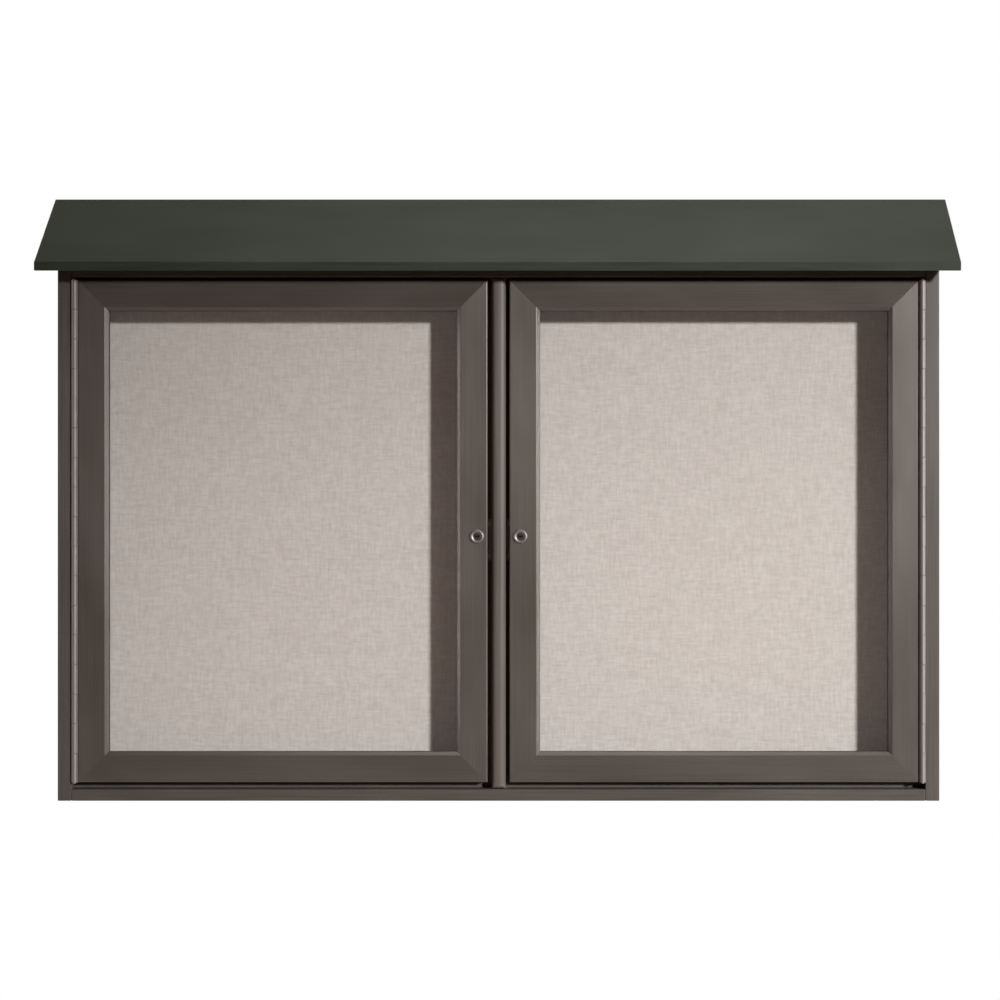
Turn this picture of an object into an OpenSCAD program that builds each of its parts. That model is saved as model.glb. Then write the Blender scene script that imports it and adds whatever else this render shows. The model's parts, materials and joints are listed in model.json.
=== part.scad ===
// Two-door notice board with a lean-to roof. Millimetres, +Z up, front towards -Y.
// The wall is the plane Y = 0, and the origin is the middle of the four wall-bolt holes.

/* [Case] */
// Width of the case over its side boards
case_w = 1524; // [1300:1:1700]
// Height of the case at its front edge, up to the underside of the roof
case_front_h = 953; // [850:1:1100]
// Depth of the case from the wall to its front edge
case_d = 100; // [95:1:130]
// Thickness of the side boards
side_t = 24; // [20:1:30]
// Thickness of the top rail and of the bottom rail
rail_t = 20; // [18:1:28]
// Thickness of the header board over the top rail
header_t = 24; // [16:1:30]
// Height of the header board at its front face
header_h = 28; // [20:1:60]
// Thickness of the centre mullion, which has a half-round nose
mullion_t = 25; // [20:1:32]
// Thickness of the back panel
back_t = 6; // [4:1:9]

/* [Roof] */
// Slope of the roof in degrees
roof_pitch = 40.5; // [30:0.5:48]
// Thickness of the roof panel
roof_t = 12; // [9:1:18]
// Overhang of the roof in front of the case
roof_overhang = 50; // [30:1:90]
// Overhang of the roof past each end of the case
roof_end_overhang = 28.5; // [10:0.5:60]
// Thickness of the rib that carries the middle of the roof
rib_t = 24; // [18:1:30]
// Width of the cleats that the roof is screwed to
cleat_w = 22; // [18:1:30]
// Height of the cleats, measured plumb
cleat_h = 20; // [16:1:24]
// Height of the roof back rail at its front face
back_rail_h = 45; // [30:1:60]

/* [Doors] */
// Thickness of a door frame
door_t = 22; // [20:1:26]
// Width of the flat front face of a frame member
face_w = 46.5; // [44:0.5:60]
// Width of the sloped edge between that face and the window
bevel_w = 6; // [3:0.5:10]
// Depth of the sloped edge
bevel_d = 5.5; // [3:0.5:6]
// Width of the hollow tube at the back of a frame member
tube_w = 36; // [34:0.5:42]
// Wall thickness of the frame section
wall_t = 2; // [1.5:0.1:2.5]
// Thickness of the lip in front of the glazing channel
front_lip_t = 2.5; // [2:0.1:3]
// How far the back lip of the glazing channel stops short of the front lip
lip_setback = 3.5; // [2:0.5:6]
// Gap between a door and the top rail
door_gap_top = 5; // [3:0.5:8]
// Gap between a door and the bottom rail
door_gap_bottom = 12; // [4:0.5:16]
// Gap between a door and the mullion
meeting_gap = 6.5; // [3:0.5:10]
// Length of the arms of the corner keys
key_arm = 70; // [40:1:76]
// Clearance of a corner key in the tube
key_clear = 0.25; // [0.1:0.05:0.5]

/* [Glazing and seals] */
// Thickness of the window pane
pane_t = 3; // [2:0.5:5]
// Depth of the glazing channel, which the gasket fills
channel_d = 8; // [7:0.5:9]
// Gap between the gasket and the bottom of its channel
gasket_clear = 0.5; // [0.2:0.1:1]
// How far the gasket shows past the front lip
gasket_show = 1.5; // [0.5:0.5:3]
// How deep the pane sits in the gasket
pane_bite = 13; // [8:0.5:14]
// Thickness of the seal on the back of a door
seal_t = 3; // [2:0.5:5]
// Width of the seal
seal_w = 4.5; // [3:0.5:5]
// Distance from the door's edge to the seal
seal_inset = 1; // [0.5:0.5:1.5]

/* [Door stops] */
// How far the stops reach behind a door
stop_lap = 6; // [6:0.5:7]
// Depth of the stops
stop_d = 20; // [14:1:22]
// Gap between the ends of the upright stops and the level ones
stop_gap = 0.3; // [0.1:0.1:1]
// Thickness of a strike plate
strike_t = 2; // [1.5:0.1:2.5]
// Length of a strike plate
strike_l = 72; // [60:1:120]
// Distance from the end of a strike plate to its screw
strike_screw_inset = 8; // [6:1:12]

/* [Hinges] */
// Gap between a side board and its door, which the hinge fills
hinge_gap = 11; // [9.5:0.5:14]
// How far the hinge pin stands in front of the doors
hinge_proud = 2; // [0:0.5:4]
// Outside diameter of the hinge knuckles
knuckle_d = 9; // [8.5:0.5:9]
// Number of knuckles along a hinge, always odd
knuckle_n = 17; // [9:2:25]
// Gap between neighbouring knuckles
knuckle_gap = 0.4; // [0.2:0.1:1]
// Thickness of the hinge leaves
leaf_t = 1.5; // [1.3:0.1:1.8]
// Width of the hinge leaves, behind the pin
leaf_w = 24; // [22:0.5:26]
// Clearance between a leaf and the knuckles of the other leaf
leaf_clear = 0.4; // [0.2:0.1:0.6]
// Diameter of the hinge pin
pin_d = 3.2; // [2.5:0.1:4]
// Running clearance round the hinge pin
pin_clear = 0.05; // [0.02:0.01:0.09]
// Diameter of the peened ends of the pin
pin_head_d = 5.5; // [4.5:0.5:7]
// Height of the peened ends of the pin
pin_head_h = 1.5; // [1:0.5:2]

/* [Locks] */
// Distance from the door's edge to the middle of the lock
lock_inset = 18.5; // [18:0.5:22]
// Height of the lock above the bottom edge of the door
lock_h = 425; // [200:1:650]
// Diameter of the lock's head
head_d = 25; // [22:0.5:30]
// Thickness of the lock's head
head_t = 3; // [2:0.5:5]
// Chamfer round the lock's head
head_chamfer = 0.9; // [0.3:0.1:1.5]
// Diameter of the lock's barrel
barrel_d = 19; // [16:0.5:19]
// Clearance of the barrel in the lock stile
barrel_clear = 0.2; // [0.1:0.1:0.5]
// Diameter of the plug that the key turns
plug_d = 13; // [10:0.5:14]
// Running clearance round the plug
plug_clear = 0.05; // [0.02:0.01:0.09]
// How far the plug's face sits below the head's face
plug_recess = 1; // [0.5:0.5:2]
// Length of the key slot
key_slot_l = 8; // [6:0.5:9]
// Width of the key slot
key_slot_w = 1.8; // [1:0.1:2.5]
// Depth of the key slot
key_slot_d = 10; // [4:1:14]
// Distance across the flats of the lock nut
nut_af = 23; // [22:0.5:24]
// Thickness of the lock nut
nut_t = 3.5; // [2.5:0.5:4]
// Reach of the cam from the middle of the lock
cam_reach = 21; // [19:0.5:23]
// Width of the cam's arm
cam_w = 14; // [12:0.5:14]
// Diameter of the round end that the plug holds
cam_boss_d = 18; // [16:0.5:19]
// Thickness of the cam
cam_t = 2.5; // [2:0.5:4]
// Clearance round the cam where it passes the strike plate and the slot behind it
cam_clear = 0.5; // [0.3:0.1:1]
// Spare room for the cam above, behind and past its tip in that slot
cam_slot_room = 2; // [1:0.5:3]
// Width of the square tang on the plug
tang_w = 8; // [6:0.5:9]

/* [Display] */
// Thickness of the tackboard cores
board_t = 13; // [10:1:14]
// Thickness of the fabric on the tackboards
fabric_t = 1; // [0.5:0.1:1.5]
// Gap round a tackboard
board_clear = 1.5; // [1:0.5:4]

/* [Wall mounting] */
// Height of the hanging rails
hanging_h = 90; // [70:1:120]
// Thickness of the hanging rails
hanging_t = 18; // [16:1:20]
// Spacing of the wall bolts across the case
bolt_spacing_x = 1219.2; // [600:0.1:1240]
// Distance from the outer edge of a hanging rail to its wall bolts
bolt_edge = 47.5; // [36:0.5:54]
// Diameter of the wall-bolt holes
bolt_hole_d = 10; // [8:0.5:14]
// Diameter of the recess for a bolt head and its washer
bolt_recess_d = 28; // [20:1:36]
// Depth of that recess
bolt_recess_t = 8; // [4:1:10]

/* [Screws] */
// Diameter of the case screws
case_screw_d = 5; // [4:0.5:6]
// Length of the case screws
case_screw_l = 52; // [45:1:60]
// Distance from the front and the back of a rail to its screws
case_screw_inset = 24; // [20:1:30]
// Spacing of the two screws in the end of a hanging rail
hanging_screw_gap = 44; // [30:1:60]
// Diameter of the roof screws
roof_screw_d = 4; // [3:0.5:5]
// How far the roof screws go into the roof panel
roof_screw_bite = 8; // [6:0.5:8]
// Spacing of the two roof screws in each cleat
roof_screw_gap = 26; // [20:1:30]
// Diameter of the hinge screws
hinge_screw_d = 4; // [3:0.5:4.5]
// Length of the hinge screws
hinge_screw_l = 16; // [10:1:18]
// Number of screws in each hinge leaf
hinge_screw_n = 9; // [5:1:12]
// Distance from the end of a hinge to its first screw
hinge_screw_inset = 84; // [80:1:100]
// Distance from the back edge of a leaf to its screws
hinge_screw_edge = 10; // [8:0.5:11]
// Diameter of the strike screws
strike_screw_d = 3.5; // [3:0.5:4]
// Length of the strike screws
strike_screw_l = 14; // [8:1:16]
// Diameter of the tackboard screws
board_screw_d = 4; // [3:0.5:5]
// Length of the tackboard screws, below their heads
board_screw_l = 28; // [20:1:30]
// Distance from the edges of a tackboard to its screws
board_screw_inset = 14; // [12:1:16]
// Diameter of the cam screw
cam_screw_d = 4; // [3:0.5:4.5]
// Length of the cam screw in the plug
cam_screw_l = 8; // [6:1:10]
// Diameter of the cam screw's head
cam_head_d = 10; // [9:0.5:12]
// Thickness of the cam screw's head
cam_head_t = 2.4; // [1.6:0.2:3]
// Width of a screw head over the width of its shank
head_ratio = 1.9; // [1.7:0.1:2]
// Slope of a countersunk head in degrees from its face
sink_angle = 45; // [40:1:50]
// Width of the hexagon socket in a screw head over the width of its shank
socket_ratio = 0.9; // [0.7:0.05:1]

/* [Hidden] */
LEFT = -1;
RIGHT = 1;
$fn = 48;
// How far a cut runs past the surface that it opens
past = 1;

// Colours of the finishes
LUMBER = "#4b463f";
ROOF = "#42463e";
BRONZE = "#57504a";
STEEL = "#b9b2af";
FABRIC = "#c2b7b5";
FIBRE = "#8a7558";
RUBBER = "#1c1b1a";
ZINC = "#8f8d88";

// Heights, from the middle of the opening between the top rail and the bottom rail
opening_top_h = case_front_h - header_h - rail_t;
floor_z = -(rail_t + opening_top_h) / 2;
opening_z0 = floor_z + rail_t;
opening_z1 = floor_z + opening_top_h;
bolt_spacing_z = opening_z1 - opening_z0 - 2 * bolt_edge;
front_top_z = floor_z + case_front_h;
door_z0 = opening_z0 + door_gap_bottom;
door_z1 = opening_z1 - door_gap_top;
door_h = door_z1 - door_z0;
function under_roof(y) = front_top_z + (y + case_d) * tan(roof_pitch);

// Widths, from the middle of the case to its right end
half_w = case_w / 2;
inner_x = half_w - side_t;
mullion_x = mullion_t / 2;
door_x0 = mullion_x + meeting_gap;
door_x1 = inner_x - hinge_gap;
door_w = door_x1 - door_x0;

// Depths, from the wall to the front
back_y = -back_t;
hanging_y = back_y - hanging_t;
board_y = hanging_y - board_t;
fabric_y = board_y - fabric_t;
door_y = -case_d;
stop_y = door_y + door_t + seal_t;
header_y = -case_d + header_t;
eave_y = -case_d - roof_overhang;
roof_plumb = roof_t / cos(roof_pitch);

// Frame section, from the outer edge of the door inwards
sight_w = face_w + bevel_w;
channel_y = bevel_d + front_lip_t;
lip_w = sight_w - lip_setback;
pane_w = sight_w + gasket_show - pane_bite;

// Hinge
hinge_x = inner_x - hinge_gap / 2;
hinge_y = door_y - hinge_proud;
knuckle_pitch = door_h / knuckle_n;
hinge_screw_y = hinge_y + leaf_w - hinge_screw_edge;
hinge_screw_pitch = (door_h - 2 * hinge_screw_inset) / (hinge_screw_n - 1);

// Lock, with depths measured from the front face of the door
lock_x = door_x0 + lock_inset;
lock_z = door_z0 + lock_h;
cam_y = door_t + seal_t + strike_t + cam_clear;
barrel_l = cam_y - cam_clear;
slot_z0 = lock_z - cam_reach - cam_clear;
slot_z1 = lock_z + cam_w / 2 + cam_slot_room;
strike_z0 = (slot_z0 + slot_z1 - strike_l) / 2;
stop_x1 = door_x0 + stop_lap;

// Each hinge, lock and door is drawn on the right, and mirrored for the left
module on_side(side) {
    mirror([side < 0 ? 1 : 0, 0, 0]) children();
}

module both_sides() {
    for (side = [LEFT, RIGHT]) on_side(side) children();
}

// Box between two corners
module block(low, high) {
    translate(low) cube(high - low);
}

// Outline of points [y, z] drawn out along X
module along_x(x0, x1, points) {
    translate([x0, 0, 0]) rotate([90, 0, 90]) linear_extrude(x1 - x0) polygon(points);
}

// Board under the roof from y0 to y1, with its top cut to the slope
module under_slope(x0, x1, y0, y1, z0) {
    along_x(x0, x1, [[y0, z0], [y1, z0], [y1, under_roof(y1)], [y0, under_roof(y0)]]);
}

// Countersunk screw along +Z, with its head's face at 0 and its tip at length
module screw(length, d, recess) {
    head_r = d * head_ratio / 2;
    sink = (head_r - d / 2) / tan(sink_angle);
    difference() {
        union() {
            cylinder(h = sink, r1 = head_r, r2 = d / 2);
            translate([0, 0, sink]) cylinder(h = length - sink - d, d = d);
            translate([0, 0, length - d]) cylinder(h = d, d1 = d, d2 = d / 4);
        }
        if (recess) translate([0, 0, -sink / 2]) cylinder(h = sink, d = d * socket_ratio, $fn = 6);
    }
}

// Case

module side_board(side) {
    color(LUMBER) difference() {
        on_side(side) under_slope(inner_x, half_w, -case_d, 0, floor_z);
        case_screw_set(false);
        hinge_case_screw_set(false);
    }
}

module top_rail() {
    color(LUMBER) difference() {
        block([-inner_x, -case_d, opening_z1], [inner_x, back_y, opening_z1 + rail_t]);
        case_screw_set(false);
    }
}

module bottom_rail() {
    color(LUMBER) difference() {
        block([-inner_x, -case_d, floor_z], [inner_x, back_y, opening_z0]);
        case_screw_set(false);
    }
}

module header_board() {
    color(LUMBER) difference() {
        under_slope(-inner_x, inner_x, -case_d, header_y, opening_z1 + rail_t);
        case_screw_set(false);
    }
}

module center_mullion() {
    color(LUMBER) difference() {
        union() {
            block([-mullion_x, -case_d + mullion_x, opening_z0], [mullion_x, hanging_y, opening_z1]);
            translate([0, -case_d + mullion_x, opening_z0])
                cylinder(h = opening_z1 - opening_z0, r = mullion_x);
        }
        case_screw_set(false);
    }
}

module wall_bolt_holes() {
    for (x = [-1, 1] * bolt_spacing_x / 2, z = [-1, 1] * bolt_spacing_z / 2)
        translate([x, 0, z]) rotate([90, 0, 0]) {
            translate([0, 0, -past]) cylinder(h = case_d, d = bolt_hole_d);
            translate([0, 0, back_t + hanging_t - bolt_recess_t]) cylinder(h = case_d, d = bolt_recess_d);
        }
}

module back_panel() {
    color(LUMBER) difference() {
        under_slope(-inner_x, inner_x, back_y, 0, floor_z);
        wall_bolt_holes();
    }
}

module hanging_rail(z0) {
    color(LUMBER) difference() {
        block([-inner_x, hanging_y, z0], [inner_x, back_y, z0 + hanging_h]);
        wall_bolt_holes();
        case_screw_set(false);
        board_screw_set(false);
    }
}

// Case screws go in from outside the side boards, and through the rails into the mullion
module case_screw_set(recess) {
    rail_ys = [-case_d + case_screw_inset, back_y - case_screw_inset];
    rail_zs = [opening_z0 - rail_t / 2, opening_z1 + rail_t / 2];
    hanging_zs = [opening_z0 + hanging_h / 2, opening_z1 - hanging_h / 2];
    hanging_mid = back_y - hanging_t / 2;
    back_rail_z = under_roof(hanging_y) - back_rail_h / 2;
    points = concat(
        [for (y = rail_ys, z = rail_zs) [y, z]],
        [for (z = hanging_zs, dz = [-1, 1] * hanging_screw_gap / 2) [hanging_mid, z + dz]],
        [[hanging_mid, back_rail_z], [(header_y - case_d) / 2, opening_z1 + rail_t + header_h / 2]]
    );
    both_sides() for (p = points)
        translate([half_w, p[0], p[1]]) rotate([0, -90, 0]) screw(case_screw_l, case_screw_d, recess);
    for (y = rail_ys) {
        translate([0, y, floor_z]) screw(case_screw_l, case_screw_d, recess);
        translate([0, y, opening_z1 + rail_t]) mirror([0, 0, 1]) screw(case_screw_l, case_screw_d, recess);
    }
}

module case_screws() {
    color(ZINC) case_screw_set(true);
}

// Roof

module roof_panel() {
    color(ROOF) difference() {
        along_x(-half_w - roof_end_overhang, half_w + roof_end_overhang, [
            [eave_y, under_roof(eave_y)], [0, under_roof(0)],
            [0, under_roof(0) + roof_plumb], [eave_y, under_roof(eave_y) + roof_plumb]
        ]);
        roof_screw_set(false);
    }
}

module roof_rib() {
    color(LUMBER) under_slope(-rib_t / 2, rib_t / 2, header_y, hanging_y, opening_z1 + rail_t);
}

module roof_back_rail() {
    color(LUMBER) difference() {
        under_slope(-inner_x, inner_x, hanging_y, back_y, under_roof(hanging_y) - back_rail_h);
        case_screw_set(false);
    }
}

// Left edges of the two cleats on the right half of the case
cleat_xs = [rib_t / 2, inner_x - cleat_w];

module roof_cleats() {
    color(LUMBER) difference() {
        both_sides() for (x = cleat_xs) along_x(x, x + cleat_w, [
            [header_y, under_roof(header_y) - cleat_h], [hanging_y, under_roof(hanging_y) - cleat_h],
            [hanging_y, under_roof(hanging_y)], [header_y, under_roof(header_y)]
        ]);
        roof_screw_set(false);
    }
}

// Roof screws go up through the cleats, square to the slope
module roof_screw_set(recess) {
    cleat_n = cleat_h * cos(roof_pitch);
    mid_y = (header_y + hanging_y) / 2;
    both_sides() for (x = cleat_xs, s = [-1, 1] * roof_screw_gap / 2)
        translate([x + cleat_w / 2, mid_y, under_roof(mid_y)]) rotate([roof_pitch, 0, 0])
            translate([0, s, -cleat_n]) screw(cleat_n + roof_screw_bite, roof_screw_d, recess);
}

module roof_screws() {
    color(ZINC) roof_screw_set(true);
}

// Tackboards

module board_block(y0, y1) {
    block(
        [mullion_x + board_clear, y0, opening_z0 + board_clear],
        [inner_x - board_clear, y1, opening_z1 - board_clear]
    );
}

module tackboard(side) {
    color(FIBRE) difference() {
        on_side(side) board_block(board_y, hanging_y);
        board_screw_set(false);
    }
}

module tackboard_fabric(side) {
    color(FABRIC) difference() {
        on_side(side) board_block(fabric_y, board_y);
        board_screw_set(false);
    }
}

module board_screw_set(recess) {
    edge = board_clear + board_screw_inset;
    both_sides() for (x = [mullion_x + edge, inner_x - edge], z = [opening_z0 + edge, opening_z1 - edge])
        translate([x, fabric_y, z]) rotate([-90, 0, 0]) screw(board_screw_l, board_screw_d, recess);
}

module tackboard_screws() {
    color(ZINC) board_screw_set(true);
}

// Door stops, four strips round each bay

module door_stops(side) {
    z0 = door_z0 + stop_lap;
    z1 = door_z1 - stop_lap;
    y1 = stop_y + stop_d;
    color(LUMBER) on_side(side) {
        block([mullion_x, stop_y, opening_z0], [inner_x, y1, z0]);
        block([mullion_x, stop_y, z1], [inner_x, y1, opening_z1]);
        block([door_x1 - stop_lap, stop_y, z0 + stop_gap], [inner_x, y1, z1 - stop_gap]);
        difference() {
            block([mullion_x, stop_y, z0 + stop_gap], [stop_x1, y1, z1 - stop_gap]);
            cam_slot();
            strike_screw_set(false);
        }
    }
}

// Seat of the strike plate, and the slot behind it that the cam turns into
module cam_slot() {
    tip_x = lock_x - cam_reach - cam_slot_room;
    plate_y = stop_y + strike_t;
    block([0, stop_y - past, strike_z0], [stop_x1 + past, plate_y, strike_z0 + strike_l]);
    block([tip_x, stop_y, slot_z0], [stop_x1 + past, plate_y + cam_t + cam_slot_room, slot_z1]);
}

module strike_plate(side) {
    color(STEEL) on_side(side) difference() {
        block([mullion_x, stop_y, strike_z0], [stop_x1, stop_y + strike_t, strike_z0 + strike_l]);
        strike_screw_set(false);
    }
}

module strike_screw_set(recess) {
    for (z = [strike_z0 + strike_screw_inset, strike_z0 + strike_l - strike_screw_inset])
        translate([(mullion_x + stop_x1) / 2, stop_y, z]) rotate([-90, 0, 0])
            screw(strike_screw_l, strike_screw_d, recess);
}

module strike_screws() {
    color(ZINC) both_sides() strike_screw_set(true);
}

// Door frames

// Points [depth, distance from the outer edge] round a frame member
frame_points = [
    [0, 0], [0, face_w], [bevel_d, sight_w], [channel_y, sight_w], [channel_y, sight_w - wall_t],
    [bevel_d + wall_t / 2, sight_w - wall_t], [wall_t, face_w - wall_t / 2], [wall_t, tube_w],
    [channel_y + channel_d, tube_w], [channel_y + channel_d, lip_w],
    [channel_y + channel_d + wall_t, lip_w], [channel_y + channel_d + wall_t, tube_w],
    [door_t, tube_w], [door_t, 0]
];

// Frame member along X with its outer edge down, hollow, and mitred at both ends
module frame_member(length) {
    intersection() {
        rotate([90, 0, 90]) linear_extrude(length) difference() {
            polygon(frame_points);
            translate([wall_t, wall_t]) square([door_t - 2 * wall_t, tube_w - 2 * wall_t]);
        }
        translate([0, door_t, 0]) rotate([90, 0, 0]) linear_extrude(door_t)
            polygon([[0, 0], [length, 0], [length - sight_w, sight_w], [sight_w, sight_w]]);
    }
}

module door_bottom_rail(side) {
    color(BRONZE) on_side(side) translate([door_x0, door_y, door_z0]) frame_member(door_w);
}

module door_top_rail(side) {
    color(BRONZE) on_side(side) translate([door_x0, door_y, door_z1]) mirror([0, 0, 1]) frame_member(door_w);
}

module door_lock_stile(side) {
    color(BRONZE) on_side(side) difference() {
        translate([door_x0, door_y, door_z0]) mirror([1, 0, -1]) frame_member(door_h);
        at_lock(-past) cylinder(h = door_t + 2 * past, d = barrel_d + 2 * barrel_clear);
    }
}

module door_hinge_stile(side) {
    color(BRONZE) difference() {
        on_side(side) translate([door_x1, door_y, door_z0]) mirror([1, 0, 0])
            mirror([1, 0, -1]) frame_member(door_h);
        hinge_door_screw_set(false);
    }
}

// L-shaped keys that fill the tubes at the four corners
module corner_keys(side) {
    low = wall_t + key_clear;
    high = tube_w - wall_t - key_clear;
    outline = [
        [low, low], [key_arm, low], [key_arm, high], [high, high], [high, key_arm], [low, key_arm]
    ];
    color(ZINC) on_side(side) for (x = [0, 1], z = [0, 1])
        translate([x ? door_x1 : door_x0, door_y, z ? door_z1 : door_z0])
            mirror([x, 0, 0]) mirror([0, 0, z])
                translate([0, door_t - low, 0]) rotate([90, 0, 0])
                    linear_extrude(door_t - 2 * low) polygon(outline);
}

// Block that is inset from the door's edges, between two depths
module door_block(inset, y0, y1) {
    block([door_x0 + inset, door_y + y0, door_z0 + inset], [door_x1 - inset, door_y + y1, door_z1 - inset]);
}

module pane_block() {
    pane_y = channel_y + (channel_d - pane_t) / 2;
    door_block(pane_w, pane_y, pane_y + pane_t);
}

module window_pane(side) {
    color("#e8f0f0", 0.25) on_side(side) pane_block();
}

module glazing_gasket(side) {
    color(RUBBER) on_side(side) difference() {
        door_block(tube_w + gasket_clear, channel_y, channel_y + channel_d);
        door_block(sight_w + gasket_show, channel_y - past, channel_y + channel_d + past);
        pane_block();
    }
}

module door_seal(side) {
    color(RUBBER) on_side(side) difference() {
        door_block(seal_inset, door_t, door_t + seal_t);
        door_block(seal_inset + seal_w, door_t - past, door_t + seal_t + past);
    }
}

// Hinges

module knuckles(first, d, gap) {
    for (i = [first : 2 : knuckle_n - 1])
        translate([hinge_x, hinge_y, door_z0 + i * knuckle_pitch + gap / 2])
            cylinder(h = knuckle_pitch - gap, d = d);
}

module hinge_leaf(x0, x1, own, other, bore_d) {
    difference() {
        union() {
            difference() {
                block([x0, hinge_y, door_z0], [x1, hinge_y + leaf_w, door_z1]);
                knuckles(other, knuckle_d + 2 * leaf_clear, 0);
            }
            knuckles(own, knuckle_d, knuckle_gap);
        }
        translate([hinge_x, hinge_y, door_z0 - past]) cylinder(h = door_h + 2 * past, d = bore_d);
    }
}

module hinge_case_leaf(side) {
    color(STEEL) difference() {
        on_side(side) hinge_leaf(inner_x - leaf_t, inner_x, 0, 1, pin_d);
        hinge_case_screw_set(false);
    }
}

module hinge_door_leaf(side) {
    color(STEEL) difference() {
        on_side(side) hinge_leaf(door_x1, door_x1 + leaf_t, 1, 0, pin_d + 2 * pin_clear);
        hinge_door_screw_set(false);
    }
}

module hinge_pins() {
    color(STEEL) both_sides() translate([hinge_x, hinge_y, door_z0]) {
        cylinder(h = door_h, d = pin_d);
        translate([0, 0, -pin_head_h]) cylinder(h = pin_head_h, d = pin_head_d);
        translate([0, 0, door_h]) cylinder(h = pin_head_h, d = pin_head_d);
    }
}

module hinge_screw_column(recess) {
    for (i = [0 : hinge_screw_n - 1])
        translate([0, hinge_screw_y, door_z0 + hinge_screw_inset + i * hinge_screw_pitch])
            rotate([0, 90, 0]) screw(hinge_screw_l, hinge_screw_d, recess);
}

module hinge_case_screw_set(recess) {
    both_sides() translate([inner_x - leaf_t, 0, 0]) hinge_screw_column(recess);
}

module hinge_door_screw_set(recess) {
    both_sides() translate([door_x1 + leaf_t, 0, 0]) mirror([1, 0, 0]) hinge_screw_column(recess);
}

module hinge_case_screws() {
    color(STEEL) hinge_case_screw_set(true);
}

module hinge_door_screws(side) {
    color(STEEL) on_side(side) translate([door_x1 + leaf_t, 0, 0]) mirror([1, 0, 0]) hinge_screw_column(true);
}

// Locks

// The lock's axis runs from the front of the door to its back, and Y on it points down
module at_lock(depth) {
    translate([lock_x, door_y + depth, lock_z]) rotate([-90, 0, 0]) children();
}

module lock_barrel(side) {
    bore_r = plug_d / 2 + plug_clear;
    head_r = head_d / 2;
    color(STEEL) on_side(side) at_lock(0) rotate_extrude() polygon([
        [bore_r, -head_t], [head_r - head_chamfer, -head_t], [head_r, head_chamfer - head_t],
        [head_r, 0], [barrel_d / 2, 0], [barrel_d / 2, barrel_l], [bore_r, barrel_l]
    ]);
}

module lock_nut(side) {
    color(ZINC) on_side(side) at_lock(door_t) difference() {
        rotate([0, 0, 30]) cylinder(h = nut_t, d = nut_af / cos(30), $fn = 6);
        translate([0, 0, -past]) cylinder(h = nut_t + 2 * past, d = barrel_d);
    }
}

module lock_plug(side) {
    face_y = plug_recess - head_t;
    color(STEEL) on_side(side) difference() {
        at_lock(face_y) {
            cylinder(h = cam_y - face_y, d = plug_d);
            translate([-tang_w, -tang_w, 0] / 2) cube([tang_w, tang_w, cam_y - face_y + cam_t]);
        }
        at_lock(face_y - past) translate([-key_slot_l, -key_slot_w, 0] / 2)
            cube([key_slot_l, key_slot_w, key_slot_d + past]);
        at_lock(cam_y + cam_t - cam_screw_l) cylinder(h = cam_screw_l + past, d = cam_screw_d);
    }
}

module lock_cam(side) {
    arm = cam_reach - cam_w / 2;
    color(ZINC) on_side(side) at_lock(cam_y) linear_extrude(cam_t) difference() {
        union() {
            circle(d = cam_boss_d);
            translate([-cam_w / 2, 0]) square([cam_w, arm]);
            translate([0, arm]) circle(d = cam_w);
        }
        square(tang_w, center = true);
    }
}

module cam_screw(side) {
    color(ZINC) on_side(side) at_lock(cam_y + cam_t) {
        translate([0, 0, -cam_screw_l]) cylinder(h = cam_screw_l, d = cam_screw_d);
        cylinder(h = cam_head_t, d = cam_head_d);
    }
}

side_board(LEFT);  // left_side_board
side_board(RIGHT);  // right_side_board
top_rail();
bottom_rail();
header_board();
center_mullion();
back_panel();
hanging_rail(opening_z1 - hanging_h);  // top_hanging_rail
hanging_rail(opening_z0);  // bottom_hanging_rail
case_screws();
roof_panel();
roof_rib();
roof_back_rail();
roof_cleats();
roof_screws();
tackboard(LEFT);  // left_tackboard
tackboard(RIGHT);  // right_tackboard
tackboard_fabric(LEFT);  // left_tackboard_fabric
tackboard_fabric(RIGHT);  // right_tackboard_fabric
tackboard_screws();
door_stops(LEFT);  // left_door_stops
door_stops(RIGHT);  // right_door_stops
strike_plate(LEFT);  // left_strike_plate
strike_plate(RIGHT);  // right_strike_plate
strike_screws();
hinge_case_leaf(LEFT);  // left_hinge_case_leaf
hinge_case_leaf(RIGHT);  // right_hinge_case_leaf
hinge_pins();
hinge_case_screws();
door_hinge_stile(LEFT);  // left_door_hinge_stile
door_lock_stile(LEFT);  // left_door_lock_stile
door_top_rail(LEFT);  // left_door_top_rail
door_bottom_rail(LEFT);  // left_door_bottom_rail
corner_keys(LEFT);  // left_corner_keys
window_pane(LEFT);  // left_window_pane
glazing_gasket(LEFT);  // left_glazing_gasket
door_seal(LEFT);  // left_door_seal
hinge_door_leaf(LEFT);  // left_hinge_door_leaf
hinge_door_screws(LEFT);  // left_hinge_door_screws
lock_barrel(LEFT);  // left_lock_barrel
lock_nut(LEFT);  // left_lock_nut
lock_plug(LEFT);  // left_lock_plug
lock_cam(LEFT);  // left_lock_cam
cam_screw(LEFT);  // left_cam_screw
door_hinge_stile(RIGHT);  // right_door_hinge_stile
door_lock_stile(RIGHT);  // right_door_lock_stile
door_top_rail(RIGHT);  // right_door_top_rail
door_bottom_rail(RIGHT);  // right_door_bottom_rail
corner_keys(RIGHT);  // right_corner_keys
window_pane(RIGHT);  // right_window_pane
glazing_gasket(RIGHT);  // right_glazing_gasket
door_seal(RIGHT);  // right_door_seal
hinge_door_leaf(RIGHT);  // right_hinge_door_leaf
hinge_door_screws(RIGHT);  // right_hinge_door_screws
lock_barrel(RIGHT);  // right_lock_barrel
lock_nut(RIGHT);  // right_lock_nut
lock_plug(RIGHT);  // right_lock_plug
lock_cam(RIGHT);  // right_lock_cam
cam_screw(RIGHT);  // right_cam_screw
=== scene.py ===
import json
import math

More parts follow.
